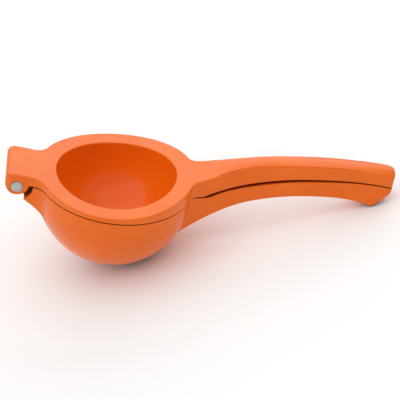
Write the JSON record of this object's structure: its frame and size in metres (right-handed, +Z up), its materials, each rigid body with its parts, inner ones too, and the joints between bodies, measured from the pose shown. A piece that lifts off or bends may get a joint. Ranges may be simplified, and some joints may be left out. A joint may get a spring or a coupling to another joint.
{
  "type": "hand citrus press",
  "caption": "Hand citrus press: a ringed press cup and a drained bowl on two long grips, joined by a pin hinge.",
  "frame": {"origin": "middle of the footprint, on the surface that the closed press lies on, resting on its bowl and on the heel of the lower grip", "axes": "+X from the hinge towards the grips, +Y along the hinge pin, +Z up"},
  "size_m": [0.2242, 0.0924, 0.0792],
  "materials": {
    "upper_enamel": "glossy orange enamel over cast metal",
    "lower_enamel": "glossy orange enamel over cast metal",
    "pin_steel": "bright turned steel"
  },
  "bodies": {
    "lower": {"lower_lever": "lower_enamel"},
    "upper": {"upper_lever": "upper_enamel", "hinge_pin": "pin_steel"}
  },
  "joints": [
    {"name": "lever_hinge", "type": "hinge", "parent": "lower", "child": "upper", "pos_m": [-0.10583, 0, 0.06967], "axis": [0, -1, 0], "range_deg": [0, 120]}
  ]
}
